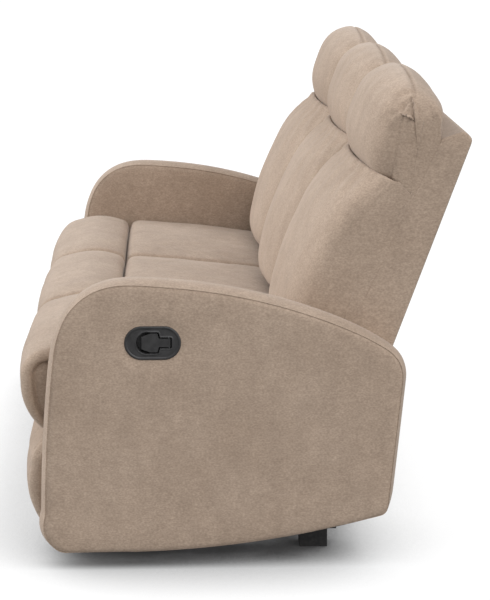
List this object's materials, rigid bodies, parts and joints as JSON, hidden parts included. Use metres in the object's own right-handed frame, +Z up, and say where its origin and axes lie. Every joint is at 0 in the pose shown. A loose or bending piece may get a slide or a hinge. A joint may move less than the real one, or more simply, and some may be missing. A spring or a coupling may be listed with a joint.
{
  "type": "reclining sofa",
  "caption": "Upholstered reclining sofa with rounded arms, padded backs and headrests; end seats recline on linkages with fold-out footrests released by side levers.",
  "frame": {"origin": "on the floor, under the middle of the sofa's box", "axes": "+X along the length towards the sitter's left, front faces -Y, +Z up"},
  "size_m": [1.84, 0.963, 1.035],
  "materials": {
    "upholstery": "brushed micro suede",
    "webbing": "woven elastic webbing",
    "timber": "sawn pine and plywood",
    "base_paint": "black stained timber",
    "mechanism_steel": "black powder coat",
    "bright_steel": "zinc plated",
    "handle_plastic": "moulded satin black",
    "foot_plastic": "moulded black"
  },
  "bodies": {
    "base": {"left_arm_core": "timber", "right_arm_core": "timber", "left_arm_cover": "upholstery", "right_arm_cover": "upholstery", "left_handle_bezel": "handle_plastic", "right_handle_bezel": "handle_plastic", "lever_pins": "bright_steel", "runners": "base_paint", "stretchers": "timber", "feet": "foot_plastic", "mechanism_rails": "mechanism_steel", "rear_skirt": "upholstery", "middle_seat_frame": "timber", "middle_seat_webbing": "webbing", "middle_seat_cushion": "upholstery", "middle_knee_roll": "upholstery", "middle_front_pad": "upholstery", "middle_back_frame": "timber", "middle_back_shell": "upholstery", "middle_back_cushion": "upholstery", "middle_headrest": "upholstery"},
    "left_seat": {"left_seat_frame": "timber", "left_seat_webbing": "webbing", "left_mechanism_plates": "mechanism_steel", "left_seat_cushion": "upholstery", "left_knee_roll": "upholstery"},
    "left_back": {"left_back_frame": "timber", "left_back_shell": "upholstery", "left_back_brackets": "mechanism_steel", "left_back_cushion": "upholstery", "left_headrest": "upholstery"},
    "left_drive_link": {"left_drive_links": "mechanism_steel"},
    "left_control_link": {"left_control_links": "mechanism_steel"},
    "left_long_link": {"left_long_links": "mechanism_steel"},
    "left_footrest": {"left_footrest_brackets": "mechanism_steel", "left_footrest_board": "timber", "left_footrest_pad": "upholstery"},
    "left_flap": {"left_flap_board": "timber", "left_flap_pad": "upholstery"},
    "left_lever": {"left_release_lever": "handle_plastic"},
    "right_seat": {"right_seat_frame": "timber", "right_seat_webbing": "webbing", "right_mechanism_plates": "mechanism_steel", "right_seat_cushion": "upholstery", "right_knee_roll": "upholstery"},
    "right_back": {"right_back_frame": "timber", "right_back_shell": "upholstery", "right_back_brackets": "mechanism_steel", "right_back_cushion": "upholstery", "right_headrest": "upholstery"},
    "right_drive_link": {"right_drive_links": "mechanism_steel"},
    "right_control_link": {"right_control_links": "mechanism_steel"},
    "right_long_link": {"right_long_links": "mechanism_steel"},
    "right_footrest": {"right_footrest_brackets": "mechanism_steel", "right_footrest_board": "timber", "right_footrest_pad": "upholstery"},
    "right_flap": {"right_flap_board": "timber", "right_flap_pad": "upholstery"},
    "right_lever": {"right_release_lever": "handle_plastic"}
  },
  "joints": [
    {"name": "left_seat_glide", "type": "slide", "parent": "base", "child": "left_seat", "axis": [0, -1, 0], "range_m": [0, 0.0805]},
    {"name": "left_recline", "type": "hinge", "parent": "left_seat", "child": "left_back", "pos_m": [0.55533, 0.06, 0.2], "axis": [-1, 0, 0], "range_deg": [0, 32]},
    {"name": "left_footrest_open", "type": "hinge", "parent": "left_seat", "child": "left_drive_link", "pos_m": [0.55533, -0.29, 0.248], "axis": [-1, 0, 0], "range_deg": [0, 148.5]},
    {"name": "left_long_link_turn", "type": "hinge", "parent": "left_drive_link", "child": "left_long_link", "pos_m": [0.55533, -0.1107, 0.1852], "axis": [1, 0, 0], "range_deg": [0, 111]},
    {"name": "left_footrest_turn", "type": "hinge", "parent": "left_long_link", "child": "left_footrest", "pos_m": [0.55533, -0.395, 0.128], "axis": [-1, 0, 0], "range_deg": [0, 52.5]},
    {"name": "left_control_link_turn", "type": "hinge", "parent": "left_seat", "child": "left_control_link", "pos_m": [0.55533, -0.3751, 0.2627], "axis": [-1, 0, 0], "range_deg": [0, 147.1]},
    {"name": "left_flap_turn", "type": "hinge", "parent": "left_footrest", "child": "left_flap", "pos_m": [0.55533, -0.4054, 0.268], "axis": [1, 0, 0], "range_deg": [0, 180.5]},
    {"name": "left_lever_pull", "type": "hinge", "parent": "base", "child": "left_lever", "pos_m": [0.911, -0.162, 0.492], "axis": [0, 0, 1], "range_deg": [0, 35], "stiffness_Nm_per_rad": 0.8, "springref_deg": -8.59},
    {"name": "right_seat_glide", "type": "slide", "parent": "base", "child": "right_seat", "axis": [0, -1, 0], "range_m": [0, 0.0805]},
    {"name": "right_recline", "type": "hinge", "parent": "right_seat", "child": "right_back", "pos_m": [-0.55533, 0.06, 0.2], "axis": [-1, 0, 0], "range_deg": [0, 32]},
    {"name": "right_footrest_open", "type": "hinge", "parent": "right_seat", "child": "right_drive_link", "pos_m": [-0.55533, -0.29, 0.248], "axis": [-1, 0, 0], "range_deg": [0, 148.5]},
    {"name": "right_long_link_turn", "type": "hinge", "parent": "right_drive_link", "child": "right_long_link", "pos_m": [-0.55533, -0.1107, 0.1852], "axis": [1, 0, 0], "range_deg": [0, 111]},
    {"name": "right_footrest_turn", "type": "hinge", "parent": "right_long_link", "child": "right_footrest", "pos_m": [-0.55533, -0.395, 0.128], "axis": [-1, 0, 0], "range_deg": [0, 52.5]},
    {"name": "right_control_link_turn", "type": "hinge", "parent": "right_seat", "child": "right_control_link", "pos_m": [-0.55533, -0.3751, 0.2627], "axis": [-1, 0, 0], "range_deg": [0, 147.1]},
    {"name": "right_flap_turn", "type": "hinge", "parent": "right_footrest", "child": "right_flap", "pos_m": [-0.55533, -0.4054, 0.268], "axis": [1, 0, 0], "range_deg": [0, 180.5]},
    {"name": "right_lever_pull", "type": "hinge", "parent": "base", "child": "right_lever", "pos_m": [-0.911, -0.162, 0.492], "axis": [0, 0, -1], "range_deg": [0, 35], "stiffness_Nm_per_rad": 0.8, "springref_deg": -8.59}
  ],
  "couplings": [
    {"joint": "left_seat_glide", "follows": "left_recline", "m_per_rad": 0.14324},
    {"joint": "left_long_link_turn", "follows": "left_footrest_open", "ratio": 0.74411},
    {"joint": "left_footrest_turn", "follows": "left_footrest_open", "ratio": 0.35017},
    {"joint": "left_control_link_turn", "follows": "left_footrest_open", "ratio": 0.98721},
    {"joint": "left_flap_turn", "follows": "left_footrest_open", "ratio": 1.2121},
    {"joint": "right_seat_glide", "follows": "right_recline", "m_per_rad": 0.14324},
    {"joint": "right_long_link_turn", "follows": "right_footrest_open", "ratio": 0.74411},
    {"joint": "right_footrest_turn", "follows": "right_footrest_open", "ratio": 0.35017},
    {"joint": "right_control_link_turn", "follows": "right_footrest_open", "ratio": 0.98721},
    {"joint": "right_flap_turn", "follows": "right_footrest_open", "ratio": 1.2121}
  ]
}
